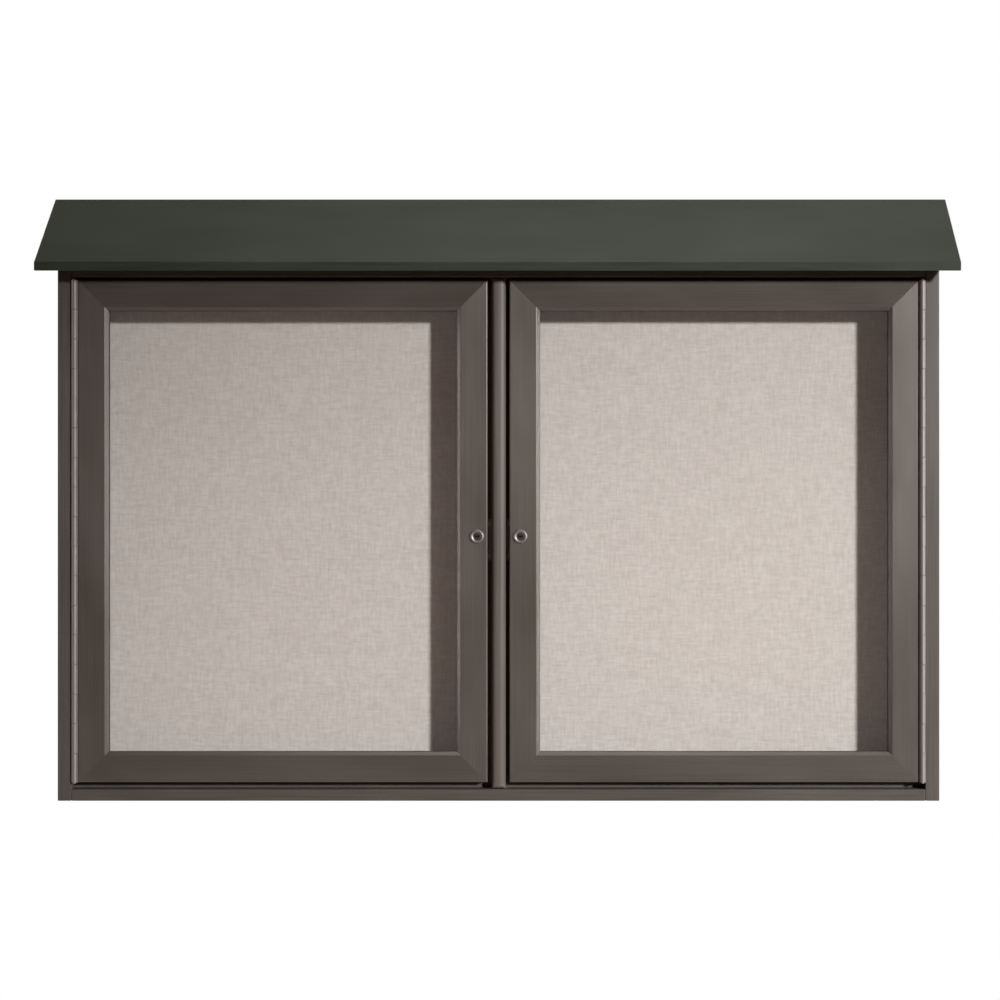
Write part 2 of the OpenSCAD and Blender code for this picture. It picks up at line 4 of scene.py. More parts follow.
import bpy
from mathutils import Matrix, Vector

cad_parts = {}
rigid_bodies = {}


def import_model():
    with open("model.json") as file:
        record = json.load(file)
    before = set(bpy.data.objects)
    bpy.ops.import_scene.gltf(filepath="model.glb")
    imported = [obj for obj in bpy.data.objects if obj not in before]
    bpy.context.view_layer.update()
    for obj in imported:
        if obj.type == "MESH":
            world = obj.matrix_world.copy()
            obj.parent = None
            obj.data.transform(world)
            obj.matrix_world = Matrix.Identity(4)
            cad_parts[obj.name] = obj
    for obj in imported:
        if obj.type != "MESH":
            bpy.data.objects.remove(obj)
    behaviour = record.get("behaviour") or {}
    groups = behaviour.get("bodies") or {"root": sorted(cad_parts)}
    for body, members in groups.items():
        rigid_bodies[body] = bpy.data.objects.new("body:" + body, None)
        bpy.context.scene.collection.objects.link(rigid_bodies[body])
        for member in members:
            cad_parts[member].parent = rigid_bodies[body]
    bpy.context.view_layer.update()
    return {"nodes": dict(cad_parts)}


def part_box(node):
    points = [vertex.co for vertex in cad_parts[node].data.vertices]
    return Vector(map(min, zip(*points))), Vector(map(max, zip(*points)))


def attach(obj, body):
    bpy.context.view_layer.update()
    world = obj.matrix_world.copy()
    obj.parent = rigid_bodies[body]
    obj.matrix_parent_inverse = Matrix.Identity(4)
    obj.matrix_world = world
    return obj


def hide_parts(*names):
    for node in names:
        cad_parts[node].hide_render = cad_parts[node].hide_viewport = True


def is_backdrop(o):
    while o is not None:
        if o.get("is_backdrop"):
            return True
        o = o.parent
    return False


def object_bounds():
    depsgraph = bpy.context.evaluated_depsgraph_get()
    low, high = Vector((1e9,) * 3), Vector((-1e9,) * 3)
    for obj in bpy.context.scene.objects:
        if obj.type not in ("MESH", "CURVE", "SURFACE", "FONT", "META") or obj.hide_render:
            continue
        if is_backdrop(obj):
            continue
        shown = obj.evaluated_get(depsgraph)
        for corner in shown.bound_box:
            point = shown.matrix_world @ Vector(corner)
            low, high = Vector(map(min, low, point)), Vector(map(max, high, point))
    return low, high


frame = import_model()


# Boards of the case. The real ones are recycled plastic lumber, dark brown all through, sawn to
# length, eased along the edges with a router, and butted together with countersunk screws.
ROOF_PITCH = math.radians(40.5)
FRONT_TOP = Vector((0, -0.1, 0.4905))
UP_FROM_SLOPE = Vector((0, -math.sin(ROOF_PITCH), math.cos(ROOF_PITCH)))
ROUTED_EDGE = 0.0015
PANEL_EDGE = ROUTED_EDGE / 3
SCREW_HEAD_RATIO = 1.9
SCREW_ROOM = 0.0001
BOLT_X, BOLT_Z = 0.6096, 0.395
BOLT_RADIUS, BOLT_SEAT = 0.005, 0.017
WASHER_RADIUS, WASHER_END = 0.014, 0.03
SHARP_ANGLE, SMOOTH_ANGLE, FLAT_ANGLE = math.radians(30), math.radians(35), math.radians(0.5)
PAST = 0.001
SMALLEST = 0.000002


def only(piece):
    """Selects one piece alone, out of edit mode."""
    if bpy.context.mode != "OBJECT":
        bpy.ops.object.mode_set(mode="OBJECT")
    bpy.ops.object.select_all(action="DESELECT")
    piece.select_set(True)
    bpy.context.view_layer.objects.active = piece


def name_piece(name):
    """Names the piece that was just added, with its place put into its mesh."""
    bpy.ops.object.transform_apply(location=True, rotation=True, scale=True)
    piece = bpy.context.object
    piece.name = piece.data.name = name
    return piece


def block(name, low, high):
    """A cuboid between two corners."""
    bpy.ops.object.select_all(action="DESELECT")
    bpy.ops.mesh.primitive_cube_add(size=1, location=(low + high) / 2, scale=high - low)
    return name_piece(name)


def saw(piece, point, outward, closed=True):
    """Saws off what lies outward of a plane."""
    only(piece)
    bpy.ops.object.mode_set(mode="EDIT")
    bpy.ops.mesh.select_all(action="SELECT")
    bpy.ops.mesh.bisect(plane_co=point, plane_no=outward, use_fill=closed, clear_outer=True)
    bpy.ops.object.mode_set(mode="OBJECT")


def ease(piece, radius, segments=2):
    """Rounds the sharp edges of a piece."""
    only(piece)
    bpy.ops.object.mode_set(mode="EDIT")
    bpy.ops.mesh.select_mode(type="EDGE")
    bpy.ops.mesh.select_all(action="DESELECT")
    bpy.ops.mesh.edges_select_sharp(sharpness=SHARP_ANGLE)
    bpy.ops.mesh.bevel(offset=radius, segments=segments, affect="EDGES", clamp_overlap=True)
    bpy.ops.object.mode_set(mode="OBJECT")


def draw(name, points):
    """A line drawn by pulling one vertex from point to point. It is left in edit mode."""
    bpy.ops.object.select_all(action="DESELECT")
    bpy.ops.mesh.primitive_plane_add(size=0.001, location=points[0])
    piece = name_piece(name)
    bpy.ops.object.mode_set(mode="EDIT")
    bpy.ops.mesh.select_mode(type="VERT")
    bpy.ops.mesh.select_all(action="SELECT")
    bpy.ops.mesh.merge(type="CENTER")
    for here, there in zip(points, points[1:]):
        bpy.ops.mesh.extrude_region_move(TRANSFORM_OT_translate={"value": there - here})
    bpy.ops.mesh.select_all(action="SELECT")
    bpy.ops.mesh.remove_doubles(threshold=SMALLEST)
    bpy.ops.mesh.select_all(action="SELECT")
    return piece


def turned(name, base, axis, profile, steps=48):
    """A shape turned about an axis through base, from its radii and the heights that they are at."""
    side = axis.orthogonal().normalized()
    piece = draw(name, [base + axis * height + side * radius for radius, height in profile])
    bpy.ops.mesh.spin(steps=steps, angle=2 * math.pi, center=base, axis=axis)
    bpy.ops.mesh.select_all(action="SELECT")
    bpy.ops.mesh.remove_doubles(threshold=SMALLEST)
    bpy.ops.mesh.normals_make_consistent(inside=False)
    bpy.ops.object.mode_set(mode="OBJECT")
    return piece


def join(pieces, name):
    """Joins some pieces into one."""
    only(pieces[0])
    for piece in pieces:
        piece.select_set(True)
    bpy.ops.object.join()
    pieces[0].name = pieces[0].data.name = name
    return pieces[0]


def merged_copy(node):
    """A copy of a CAD piece, with its loose triangles merged and its flat faces made whole."""
    piece = frame["nodes"][node].copy()
    piece.data = piece.data.copy()
    piece.parent = None
    for key in list(piece.keys()):
        del piece[key]
    bpy.context.scene.collection.objects.link(piece)
    only(piece)
    if piece.data.has_custom_normals:
        bpy.ops.mesh.customdata_custom_splitnormals_clear()
    bpy.ops.object.mode_set(mode="EDIT")
    bpy.ops.mesh.select_all(action="SELECT")
    bpy.ops.mesh.remove_doubles(threshold=SMALLEST)
    bpy.ops.mesh.dissolve_limited(angle_limit=FLAT_ANGLE)
    bpy.ops.object.mode_set(mode="OBJECT")
    return piece


def screw_cutters(*nodes):
    """Cutters for the seats of all the screws in some CAD pieces, a hair wider than the screws."""
    cutters = []
    for node in nodes:
        merged_copy(node)
        bpy.ops.mesh.separate(type="LOOSE")
        screws = list(bpy.context.selected_objects)
        for screw in screws:
            points = [vertex.co.copy() for vertex in screw.data.vertices]
            middle = sum(points, Vector()) / len(points)
            far = max(points, key=lambda point: (point - middle).length)
            end = [point for point in points if (point - far).length < 2 * PAST]
            tip = sum(end, Vector()) / len(end)
            reach = max((point - tip).length for point in points)
            rim = [point for point in points if (point - tip).length > reach - SCREW_ROOM / 2]
            head = sum(rim, Vector()) / len(rim)
            wide = (rim[0] - head).length + SCREW_ROOM
            narrow = (rim[0] - head).length / SCREW_HEAD_RATIO + SCREW_ROOM
            length = (tip - head).length + SCREW_ROOM
            profile = [(0, -PAST), (wide, -PAST), (wide, 0),
                       (narrow, wide - narrow), (narrow, length), (0, length)]
            cutters.append(turned("seat", head, (tip - head).normalized(), profile, steps=24))
        bpy.data.batch_remove(screws)
    return join(cutters, "seats")


def cut(piece, cutter, operation="DIFFERENCE"):
    """Cuts a shape out of a piece, or welds it on."""
    only(piece)
    change = piece.modifiers.new("cut", "BOOLEAN")
    change.operation, change.solver, change.object = operation, "EXACT", cutter
    bpy.ops.object.modifier_apply(modifier=change.name)


def shade(piece):
    """Shades a piece smooth across its roundings and flat on its faces."""
    only(piece)
    bpy.ops.object.shade_smooth_by_angle(angle=SMOOTH_ANGLE)
    weigh = piece.modifiers.new("normals", "WEIGHTED_NORMAL")
    weigh.keep_sharp = True
    bpy.ops.object.modifier_apply(modifier=weigh.name)


def mount(piece, body, slot, material, *nodes):
    """Gives a piece its finish, the body that it moves with, and the CAD pieces that it stands for."""
    shade(piece)
    piece.data.materials.clear()
    piece.data.materials.append(material)
    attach(piece, body)
    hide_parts(*nodes)


def linear(code):
    """A colour written as sRGB hex, as the linear numbers that a shader takes."""
    parts = [int(code[i : i + 2], 16) / 255 for i in (0, 2, 4)]
    return [c / 12.92 if c < 0.04045 else ((c + 0.055) / 1.055) ** 2.4 for c in parts] + [1]


def add(owner, kind, inputs=None, **settings):
    """Adds a node with its settings. An input is a number, a colour or another node's output."""
    node = owner.node_tree.nodes.new(kind)
    for name, value in settings.items():
        setattr(node, name, value)
    for name, value in (inputs or {}).items():
        if isinstance(value, bpy.types.NodeSocket):
            owner.node_tree.links.new(value, node.inputs[name])
        else:
            node.inputs[name].default_value = value
    return node


def blank(name):
    """A material with nothing in it yet."""
    material = bpy.data.materials.new(name)
    material.use_nodes = True
    material.node_tree.nodes.clear()
    return material


def finished(material, shader):
    """Sends a shader to the material's output."""
    add(material, "ShaderNodeOutputMaterial", {"Surface": shader.outputs[0]})
    return material


def cells(material, size_mm, axis="X", stretch=1.0):
    """Object coordinates scaled so that a pattern's cell is size_mm wide, and longer along an axis."""
    scale = [1000 / size_mm] * 3
    scale["XYZ".index(axis)] /= stretch
    place = add(material, "ShaderNodeTexCoord")
    return add(material, "ShaderNodeMapping", {
        "Vector": place.outputs["Object"], "Scale": scale}).outputs[0]


# Finish of the lumber: polyethylene through and through, drawn satin by the die. Fine streaks run
# along each board, and slow cloudy changes of tone come from the mixed scrap that it is made of.
LUMBER_DARK, LUMBER_LIGHT = "48423d", "58524d"
LUMBER_ROUGH = {"To Min": 0.42, "To Max": 0.56}
LUMBER_RELIEF = {"Strength": 0.3, "Distance": 0.0003}
STREAK_MM, STREAK_STRETCH = 2.5, 60
CLOUD_MM, CLOUD_STRETCH = 80, 3
PIT_MM = 0.9
# Most of a noise lies in the first range, and most of the sum of two noises in the second.
ONE_NOISE = {"From Min": 0.3, "From Max": 0.7}
TWO_NOISES = {"From Min": 0.7, "From Max": 1.3}


def lumber(name, axis, dark, light):
    """Plastic lumber whose streaks run along an axis."""
    material = blank(name)
    streaks = add(material, "ShaderNodeTexNoise", {
        "Vector": cells(material, STREAK_MM, axis, STREAK_STRETCH), "Scale": 1.0, "Detail": 4.0}).outputs[0]
    cloud = add(material, "ShaderNodeTexNoise", {
        "Vector": cells(material, CLOUD_MM, axis, CLOUD_STRETCH), "Scale": 1.0, "Detail": 2.0}).outputs[0]
    pits = add(material, "ShaderNodeTexNoise", {
        "Vector": cells(material, PIT_MM), "Scale": 1.0, "Detail": 2.0}).outputs[0]
    both = add(material, "ShaderNodeMath", {0: streaks, 1: cloud}, operation="ADD")
    spread = add(material, "ShaderNodeMapRange", {"Value": both.outputs[0], **TWO_NOISES})
    tone = add(material, "ShaderNodeMix", {
        0: spread.outputs[0], 6: linear(dark), 7: linear(light)}, data_type="RGBA")
    rough = add(material, "ShaderNodeMapRange", {"Value": streaks, **ONE_NOISE, **LUMBER_ROUGH})
    height = add(material, "ShaderNodeMath", {0: streaks, 1: pits}, operation="ADD")
    bump = add(material, "ShaderNodeBump", {"Height": height.outputs[0], **LUMBER_RELIEF})
    turn = add(material, "ShaderNodeTangent", direction_type="RADIAL", axis=axis)
    return finished(material, add(material, "ShaderNodeBsdfPrincipled", {
        "Base Color": tone.outputs[2], "Roughness": rough.outputs[0], "IOR": 1.5, "Anisotropic": 0.5,
        "Tangent": turn.outputs[0], "Normal": bump.outputs[0]}))


lumber_upright = lumber("plastic_lumber_upright", "Z", LUMBER_DARK, LUMBER_LIGHT)
lumber_level = lumber("plastic_lumber_level", "X", LUMBER_DARK, LUMBER_LIGHT)

seats = screw_cutters("case_screws", "hinge_case_screws", "tackboard_screws")
for node, material, under_roof in (
    ("left_side_board", lumber_upright, True), ("right_side_board", lumber_upright, True),
    ("top_rail", lumber_level, False), ("bottom_rail", lumber_level, False),
    ("header_board", lumber_level, True), ("back_panel", lumber_level, True),
    ("top_hanging_rail", lumber_level, False), ("bottom_hanging_rail", lumber_level, False),
    ("roof_back_rail", lumber_level, True),
):
    board = block(node + "_lumber", *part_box(node))
    if under_roof:
        saw(board, FRONT_TOP, UP_FROM_SLOPE)
    ease(board, PANEL_EDGE if node == "back_panel" else ROUTED_EDGE)
    if node != "back_panel":
        cut(board, seats)
    if node in ("back_panel", "top_hanging_rail", "bottom_hanging_rail"):
        for x in (-BOLT_X, BOLT_X):
            for z in (-BOLT_Z, BOLT_Z):
                hole = turned("bolt_hole", Vector((x, PAST, z)), Vector((0, -1, 0)), [
                    (0, 0), (BOLT_RADIUS, 0), (BOLT_RADIUS, BOLT_SEAT), (WASHER_RADIUS, BOLT_SEAT),
                    (WASHER_RADIUS, WASHER_END), (0, WASHER_END)], steps=32)
                cut(board, hole)
                bpy.data.objects.remove(hole)
    mount(board, "case", "plastic_lumber", material, node)


# Centre mullion. A board on edge between the rails, whose front edge is turned to a full half round
# that stands flush with the doors. It is given a paler tone than the sawn boards.
MULLION_DARK, MULLION_LIGHT = "544d48", "655d57"
NOSE_FULLNESS, NOSE_STEPS = 0.6, 20


def pick(piece, mode, test):
    """Selects, in edit mode, the vertices, edges or faces whose every point passes a test."""
    only(piece)
    bpy.ops.object.mode_set(mode="EDIT")
    bpy.ops.mesh.select_mode(type=mode)
    bpy.ops.mesh.select_all(action="DESELECT")
    bpy.ops.object.mode_set(mode="OBJECT")
    points = [test(vertex.co) for vertex in piece.data.vertices]
    if mode == "VERT":
        for vertex, good in zip(piece.data.vertices, points):
            vertex.select = good
    for part in {"VERT": [], "EDGE": piece.data.edges, "FACE": piece.data.polygons}[mode]:
        part.select = all(points[i] for i in part.vertices)
    bpy.ops.object.mode_set(mode="EDIT")


mullion_low, mullion_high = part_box("center_mullion")
nose = (mullion_high.x - mullion_low.x) / 2
mullion = block("center_mullion_lumber", mullion_low, mullion_high)
pick(mullion, "EDGE", lambda point: point.y < mullion_low.y + SMALLEST)
bpy.ops.object.mode_set(mode="OBJECT")
for edge in mullion.data.edges:
    start, end = (mullion.data.vertices[i].co for i in edge.vertices)
    edge.select = edge.select and abs(start.x - end.x) < SMALLEST
bpy.ops.object.mode_set(mode="EDIT")
bpy.ops.mesh.bevel(offset=nose - SMALLEST, segments=NOSE_STEPS, profile=NOSE_FULLNESS, affect="EDGES")
bpy.ops.object.mode_set(mode="OBJECT")
cut(mullion, seats)
lumber_turned = lumber("plastic_lumber_turned", "Z", MULLION_DARK, MULLION_LIGHT)
mount(mullion, "case", "plastic_lumber", lumber_turned, "center_mullion")
bpy.data.objects.remove(seats)


# Roof. One wide panel of the same plastic in a greener shade, sawn plumb at the eave and at the wall.
# It is held by screws that come up through the cleats inside the case.
ROOF_DARK, ROOF_LIGHT = "262e24", "343c30"
ROOF_THICK = 0.012
ROOF_PLUMB = ROOF_THICK / math.cos(ROOF_PITCH)


def dress(material, *nodes):
    """Gives some CAD pieces their finish."""
    for node in nodes:
        frame["nodes"][node].data.materials.clear()
        frame["nodes"][node].data.materials.append(material)


roof_lumber = lumber("plastic_roof_panel", "X", ROOF_DARK, ROOF_LIGHT)
roof = block("roof_panel_lumber", *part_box("roof_panel"))
saw(roof, FRONT_TOP, -UP_FROM_SLOPE)
saw(roof, FRONT_TOP + Vector((0, 0, ROOF_PLUMB)), UP_FROM_SLOPE)
ease(roof, ROUTED_EDGE, 3)
roof_seats = screw_cutters("roof_screws")
cut(roof, roof_seats)
mount(roof, "case", "roof_lumber", roof_lumber, "roof_panel")
cleats = merged_copy("roof_cleats")
cleats.name = cleats.data.name = "roof_cleats_lumber"
mount(cleats, "case", "plastic_lumber", lumber_level, "roof_cleats")
bpy.data.objects.remove(roof_seats)
dress(lumber_level, "roof_rib")


# Screws. Zinc-plated steel, countersunk, with hexagon sockets that leave no slot to slip out of.
# The plating is a pale grey with a soft gloss, so each head shows as a small light disc.
ZINC = "a5a49f"
METAL_GRAIN = 0.0001
ROUGH_SPREAD = 0.15


def plain_material(name, tone, roughness, grit_mm, strength, metallic=1.0):
    """One colour with a fine grit in its surface. It is a metal, unless metallic is 0."""
    material = blank(name)
    grit = add(material, "ShaderNodeTexNoise", {
        "Vector": cells(material, grit_mm), "Scale": 1.0, "Detail": 3.0}).outputs[0]
    rough = add(material, "ShaderNodeMapRange", {
        "Value": grit, **ONE_NOISE,
        "To Min": roughness * (1 - ROUGH_SPREAD), "To Max": roughness * (1 + ROUGH_SPREAD)})
    bump = add(material, "ShaderNodeBump", {
        "Height": grit, "Strength": strength, "Distance": METAL_GRAIN})
    return finished(material, add(material, "ShaderNodeBsdfPrincipled", {
        "Base Color": linear(tone), "Metallic": metallic, "Roughness": rough.outputs[0],
        "Normal": bump.outputs[0]}))


zinc_steel = plain_material("zinc_plated_steel", ZINC, roughness=0.4, grit_mm=0.8, strength=0.3)
dress(zinc_steel, "case_screws", "roof_screws", "tackboard_screws", "strike_screws")


# Tackboards. A fibreboard core under a pale woven fabric, which is stretched over the face, folded
# round the edges and glued, and then fixed to the hanging rails by a screw near each corner.
# The raw board is a dull brown. Uneven yarn gives the matt, warm grey fabric a fine mottle.
SIDES = {"left": -1, "right": 1}
CLOTH_THICK = 0.0005
CLOTH_ROOM = 0.0003
CLOTH_RETURN = 0.012
FOLD_RADIUS = 0.0008
FIBREBOARD = "8a7558"
FABRIC_DARK, FABRIC_LIGHT = "c3b9b5", "d8cfcb"
SLUB_MM, SLUB_STRETCH = 3.0, 6
WEAVE_MM = 3.2
WEAVE_RELIEF = {"Strength": 0.3, "Distance": 0.0004}
ONE_BAND_PER_CELL = math.pi / 10

fibreboard = plain_material("raw_fibreboard", FIBREBOARD, roughness=0.9, grit_mm=1.5, strength=0.5,
                            metallic=0.0)


def woven(name):
    """Plain weave of uneven yarn. It is drawn about three times as coarse as the cloth, so it shows."""
    material = blank(name)
    total = None
    for axis in "XZ":
        slubs = add(material, "ShaderNodeTexNoise", {
            "Vector": cells(material, SLUB_MM, axis, SLUB_STRETCH), "Scale": 1.0, "Detail": 3.0}).outputs[0]
        total = slubs if total is None else add(
            material, "ShaderNodeMath", {0: total, 1: slubs}, operation="ADD").outputs[0]
    spread = add(material, "ShaderNodeMapRange", {"Value": total, **TWO_NOISES})
    tone = add(material, "ShaderNodeMix", {
        0: spread.outputs[0], 6: linear(FABRIC_DARK), 7: linear(FABRIC_LIGHT)}, data_type="RGBA")
    place = cells(material, WEAVE_MM)
    warp, weft = [add(material, "ShaderNodeTexWave", {
        "Vector": place, "Scale": ONE_BAND_PER_CELL}, bands_direction=axis) for axis in "XZ"]
    weave = add(material, "ShaderNodeMath", {
        0: warp.outputs["Fac"], 1: weft.outputs["Fac"]}, operation="MULTIPLY")
    height = add(material, "ShaderNodeMath", {0: weave.outputs[0], 1: total}, operation="ADD")
    bump = add(material, "ShaderNodeBump", {"Height": height.outputs[0], **WEAVE_RELIEF})
    return finished(material, add(material, "ShaderNodeBsdfPrincipled", {
        "Base Color": tone.outputs[2], "Roughness": 0.9, "Sheen Weight": 0.1, "Normal": bump.outputs[0]}))


fabric = woven("woven_tackboard_fabric")
dress(fibreboard, "left_tackboard", "right_tackboard")
for side in SIDES:
    core_low, core_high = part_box(side + "_tackboard")
    room = Vector((CLOTH_ROOM, CLOTH_ROOM, CLOTH_ROOM))
    front = core_low.y - CLOTH_ROOM
    low, high = core_low - room, core_high + room
    high.y = front + CLOTH_RETURN
    cloth = block(side + "_tackboard_cloth", low, high)
    pick(cloth, "FACE", lambda point: point.y > high.y - SMALLEST)
    bpy.ops.mesh.delete(type="FACE")
    pick(cloth, "EDGE", lambda point: point.y < front + SMALLEST)
    bpy.ops.mesh.bevel(offset=FOLD_RADIUS, segments=3, affect="EDGES")
    bpy.ops.object.mode_set(mode="OBJECT")
    wall = cloth.modifiers.new("thickness", "SOLIDIFY")
    wall.thickness, wall.offset = CLOTH_THICK, 1
    bpy.ops.object.modifier_apply(modifier=wall.name)
    mount(cloth, "case", "woven_fabric", fabric, side + "_tackboard_fabric")


# Door stops. Four strips of the lumber round each bay, with a steel strike plate let in beside the
# mullion and a slot behind it that the lock's cam turns into. The satin steel is a soft grey that
# takes broad highlights and mirrors nothing clearly.
STOP_EDGE, METAL_EDGE = 0.0006, 0.0002
STEEL = "8c8582"
satin_steel = plain_material("satin_stainless", STEEL, roughness=0.6, grit_mm=0.6, strength=0.1,
                             metallic=0.6)


def refined(node, body, slot, material, radius):
    """Stands for a CAD piece whose shape is right: a merged copy with its edges eased."""
    piece = merged_copy(node)
    piece.name = piece.data.name = node + "_finished"
    ease(piece, radius, 1)
    mount(piece, body, slot, material, node)


for side in SIDES:
    refined(side + "_door_stops", "case", "plastic_lumber", lumber_upright, STOP_EDGE)
    refined(side + "_strike_plate", "case", "hinge_steel", satin_steel, METAL_EDGE)


# Hinges. Continuous stainless hinges, one leaf screwed to the side board and one to the door, with
# knuckles rolled round a pin. They show from the front as a bright strip beside each door.
KNUCKLES = 17
KNUCKLE_RADIUS, KNUCKLE_GAP, KNUCKLE_EASE = 0.0045, 0.0004, 0.0003
KNUCKLE_ROOM = 0.0004
PIN_RADIUS = 0.0016
LEAF_THICK = 0.0015
UP, RIGHTWARD, DEEPER = Vector((0, 0, 1)), Vector((1, 0, 0)), Vector((0, 1, 0))


def knuckle_row(axis, pitch, first, radius, bore, gap):
    """Every other knuckle along a hinge, with eased ends. It is bored through, or solid with no bore."""
    top = pitch - gap
    profile = [(bore, 0), (radius - KNUCKLE_EASE, 0), (radius, KNUCKLE_EASE), (radius, top - KNUCKLE_EASE),
               (radius - KNUCKLE_EASE, top), (bore, top)]
    if bore:
        profile.append(profile[0])
    return join([turned("knuckle", axis + UP * (i * pitch + gap / 2), UP, profile, steps=40)
                 for i in range(first, KNUCKLES, 2)], "knuckles")


case_leaf_seats = screw_cutters("hinge_case_screws")
for side, sign in SIDES.items():
    leaf_low, leaf_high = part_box(side + "_hinge_case_leaf")
    nearest = min(abs(leaf_low.x), abs(leaf_high.x))
    axis = Vector((sign * (nearest + KNUCKLE_RADIUS), leaf_low.y + KNUCKLE_RADIUS, leaf_low.z))
    pitch = (leaf_high.z - leaf_low.z) / KNUCKLES
    door_leaf_seats = screw_cutters(side + "_hinge_door_screws")
    for part, body, first, leaf_seats in (("case", "case", 0, case_leaf_seats),
                                          ("door", side + "_door", 1, door_leaf_seats)):
        node = side + "_hinge_" + part + "_leaf"
        low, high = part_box(node)
        inner, outer = sorted((abs(low.x), abs(high.x)))
        plate_x = (outer - LEAF_THICK, outer) if part == "case" else (inner, inner + LEAF_THICK)
        left, right = sorted(sign * x for x in plate_x)
        leaf = block(node + "_rolled", Vector((left, axis.y, low.z)), Vector((right, high.y, high.z)))
        ease(leaf, METAL_EDGE, 1)
        clearance = knuckle_row(axis, pitch, 1 - first, KNUCKLE_RADIUS + KNUCKLE_ROOM, bore=0, gap=0)
        cut(leaf, clearance)
        knuckles = knuckle_row(axis, pitch, first, KNUCKLE_RADIUS, PIN_RADIUS, KNUCKLE_GAP)
        cut(leaf, knuckles, "UNION")
        cut(leaf, leaf_seats)
        bpy.data.batch_remove([clearance, knuckles])
        mount(leaf, body, "hinge_steel", satin_steel, node)
    bpy.data.objects.remove(door_leaf_seats)
    dress(satin_steel, side + "_hinge_door_screws")
bpy.data.objects.remove(case_leaf_seats)
dress(satin_steel, "hinge_pins", "hinge_case_screws")


# Door frames. Extruded aluminium, anodised a dark bronze, with a sloped inner edge. Each member is
# sawn at 45 degrees and keyed at the corners, and the lock and hinge holes are drilled. The anodising
# is a satin grey-brown, and the keys, which are hidden, keep the bright grey of the mill.
# A section's points are depths from the front and widths from the door's outer edge, in mm. Each
# member is hollow between the two points of the tube.
FRAME_SECTION = [
    (0, 0), (0, 46.5), (5.5, 52.5), (8, 52.5), (8, 50.5), (6.5, 50.5), (2, 45.5), (2, 36),
    (16, 36), (16, 49), (18, 49), (18, 36), (22, 36), (22, 0)]
FRAME_ROUNDS = {(0, 0): 2.2, (0, 46.5): 0.8, (5.5, 52.5): 0.6, (22, 0): 0.8, (18, 49): 0.4, (16, 49): 0.4}
TUBE_FROM, TUBE_TO = (2, 2), (20, 34)
DOOR_LOW = {side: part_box(side + "_door_bottom_rail")[0] for side in SIDES}
DOOR_HIGH = {side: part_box(side + "_door_top_rail")[1] for side in SIDES}
DOOR_FRONT = DOOR_LOW["left"].y
BARREL_HOLE = 0.0097
LOCK_LENGTH = 0.027
BRONZE_DARK, BRONZE_LIGHT = "5c5751", "6d6762"
BRONZE_ROUGH = {"To Min": 0.36, "To Max": 0.42}
DIE_LINE_MM, DIE_LINE_STRETCH = 0.6, 300
MILL_GREY = "c8c8c8"


def anodised(name, axis):
    """Anodised aluminium. Die lines run along an axis and spread the light across them."""
    material = blank(name)
    lines = add(material, "ShaderNodeTexNoise", {
        "Vector": cells(material, DIE_LINE_MM, axis, DIE_LINE_STRETCH),
        "Scale": 1.0, "Detail": 2.0}).outputs[0]
    cloud = add(material, "ShaderNodeTexNoise", {
        "Vector": cells(material, CLOUD_MM, axis, CLOUD_STRETCH), "Scale": 1.0, "Detail": 2.0}).outputs[0]
    both = add(material, "ShaderNodeMath", {0: lines, 1: cloud}, operation="ADD")
    spread = add(material, "ShaderNodeMapRange", {"Value": both.outputs[0], **TWO_NOISES})
    tone = add(material, "ShaderNodeMix", {
        0: spread.outputs[0], 6: linear(BRONZE_DARK), 7: linear(BRONZE_LIGHT)}, data_type="RGBA")
    rough = add(material, "ShaderNodeMapRange", {"Value": cloud, **ONE_NOISE, **BRONZE_ROUGH})
    bump = add(material, "ShaderNodeBump", {"Height": lines, "Strength": 0.1, "Distance": METAL_GRAIN})
    turn = add(material, "ShaderNodeTangent", direction_type="RADIAL", axis=axis)
    return finished(material, add(material, "ShaderNodeBsdfPrincipled", {
        "Base Color": tone.outputs[2], "Metallic": 0.5, "Roughness": rough.outputs[0], "Anisotropic": 0.5,
        "Tangent": turn.outputs[0], "Normal": bump.outputs[0]}))


def bar(name, section, rounds, corner, along, inward, length):
    """A bar with square ends, extruded from a section of depths and widths in mm.

    It runs along from the corner, and its width goes inward from the outer edge of the door."""
    def place(depth, width):
        return corner + DEEPER * depth / 1000 + inward * width / 1000

    piece = draw(name, [place(*point) for point in section + section[:1]])
    bpy.ops.mesh.edge_face_add()
    for point, radius in rounds.items():
        spot = place(*point)
        pick(piece, "VERT", lambda co: (co - spot).length < SMALLEST)
        bpy.ops.mesh.bevel(offset=radius / 1000, segments=4, affect="VERTICES")
    bpy.ops.mesh.select_all(action="SELECT")
    bpy.ops.mesh.extrude_region_move(TRANSFORM_OT_translate={"value": along * length})
    bpy.ops.mesh.select_all(action="SELECT")
    bpy.ops.mesh.normals_make_consistent(inside=False)
    bpy.ops.object.mode_set(mode="OBJECT")
    return piece


def mitre(piece, corner, along, inward, length, closed=True):
    """Saws both ends of a bar at 45 degrees."""
    saw(piece, corner, (inward - along).normalized(), closed)
    saw(piece, corner + along * length, (inward + along).normalized(), closed)


def members(side):
    """The name, corner, direction, inward direction and length of the members round a door."""
    low, high = DOOR_LOW[side], DOOR_HIGH[side]
    width, height = high.x - low.x, high.z - low.z
    outer, inner = ("lock_stile", "hinge_stile") if side == "right" else ("hinge_stile", "lock_stile")
    return [
        ("bottom_rail", Vector((low.x, DOOR_FRONT, low.z)), RIGHTWARD, UP, width),
        ("top_rail", Vector((low.x, DOOR_FRONT, high.z)), RIGHTWARD, -UP, width),
        (outer, Vector((low.x, DOOR_FRONT, low.z)), UP, RIGHTWARD, height),
        (inner, Vector((high.x, DOOR_FRONT, low.z)), UP, -RIGHTWARD, height)]


